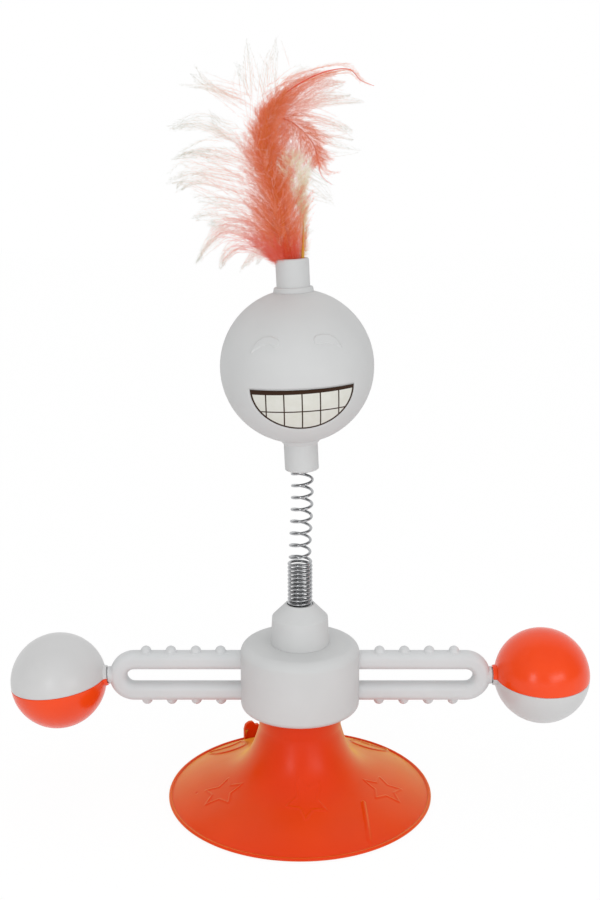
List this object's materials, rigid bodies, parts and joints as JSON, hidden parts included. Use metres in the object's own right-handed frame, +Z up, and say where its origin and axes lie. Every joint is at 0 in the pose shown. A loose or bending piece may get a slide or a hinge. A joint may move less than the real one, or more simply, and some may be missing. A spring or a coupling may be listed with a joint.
{
  "type": "spinning cat toy",
  "caption": "Suction-cup cat toy: a hub spins on a bearing with rubber arms and ball ends, under a smiling head with a feather plume that sways on a coil spring.",
  "frame": {"origin": "on the spin axis, at the foot of the suction cup where it rests on the table", "axes": "+Z up along the spin axis; the face looks towards -Y; the arms lie along X"},
  "size_m": [0.2196, 0.1014, 0.2774],
  "materials": {
    "orange_rubber": "soft satin rubber",
    "white_rubber": "soft satin rubber",
    "white_plastic": "moulded, satin to gloss",
    "orange_plastic": "moulded, gloss",
    "grey_plastic": "moulded, matte",
    "spring_steel": "drawn spring wire",
    "bearing_steel": "ground and polished",
    "screw_steel": "zinc plated",
    "teeth_print": "off-white plate with printed dark lines",
    "coral_feather": "dyed marabou down",
    "cream_feather": "pale marabou down",
    "glue": "set hot-melt glue"
  },
  "bodies": {
    "base": {"suction_cup": "orange_rubber", "spindle": "grey_plastic", "bearing_inner_race": "bearing_steel", "retaining_washer": "screw_steel", "retaining_screw": "screw_steel"},
    "hub": {"hub_housing": "white_plastic", "hub_bottom_cover": "white_plastic", "cover_screw_1": "screw_steel", "cover_screw_2": "screw_steel", "cover_screw_3": "screw_steel", "bearing_outer_race": "bearing_steel", "arm_left": "white_rubber", "arm_right": "white_rubber", "spring_collar": "white_plastic", "collar_ring": "grey_plastic"},
    "cage": {"bearing_cage": "grey_plastic", "bearing_ball_1": "bearing_steel", "bearing_ball_2": "bearing_steel", "bearing_ball_3": "bearing_steel", "bearing_ball_4": "bearing_steel", "bearing_ball_5": "bearing_steel", "bearing_ball_6": "bearing_steel", "bearing_ball_7": "bearing_steel"},
    "ball_left": {"ball_left_upper_shell": "white_plastic", "ball_left_lower_shell": "orange_plastic"},
    "ball_right": {"ball_right_upper_shell": "orange_plastic", "ball_right_lower_shell": "white_plastic"},
    "neck_spring": {"spring": "spring_steel"},
    "head": {"head_front_shell": "white_plastic", "head_rear_shell": "white_plastic", "grin_plate": "teeth_print", "spring_socket": "white_plastic", "feather_holder": "white_plastic", "glue_plug": "glue", "feather_coral_tall": "coral_feather", "feather_coral_curl": "coral_feather", "feather_cream": "cream_feather"}
  },
  "joints": [
    {"name": "hub_spin", "type": "hinge", "parent": "base", "child": "hub", "pos_m": [0, 0, 0.0485], "axis": [0, 0, 1], "continuous": true},
    {"name": "cage_spin", "type": "hinge", "parent": "base", "child": "cage", "pos_m": [0, 0, 0.0485], "axis": [0, 0, 1], "continuous": true},
    {"name": "ball_left_spin", "type": "hinge", "parent": "hub", "child": "ball_left", "pos_m": [-0.0723, 0, 0.0485], "axis": [-0.9942, 0, -0.108], "continuous": true},
    {"name": "ball_right_spin", "type": "hinge", "parent": "hub", "child": "ball_right", "pos_m": [0.0723, 0, 0.0485], "axis": [1, 0, 0], "continuous": true},
    {"name": "head_sway_side", "type": "hinge", "parent": "hub", "child": "neck_spring", "pos_m": [0.0002, 0, 0.103], "axis": [0, 1, 0], "range_deg": [-35, 35], "stiffness_Nm_per_rad": 0.06, "deforming": ["spring"]},
    {"name": "head_sway_fore", "type": "hinge", "parent": "neck_spring", "child": "head", "pos_m": [0.0008, 0, 0.12], "axis": [1, 0, 0], "range_deg": [-35, 35], "stiffness_Nm_per_rad": 0.06, "deforming": ["spring"]}
  ],
  "couplings": [
    {"joint": "cage_spin", "follows": "hub_spin", "ratio": 0.628}
  ]
}
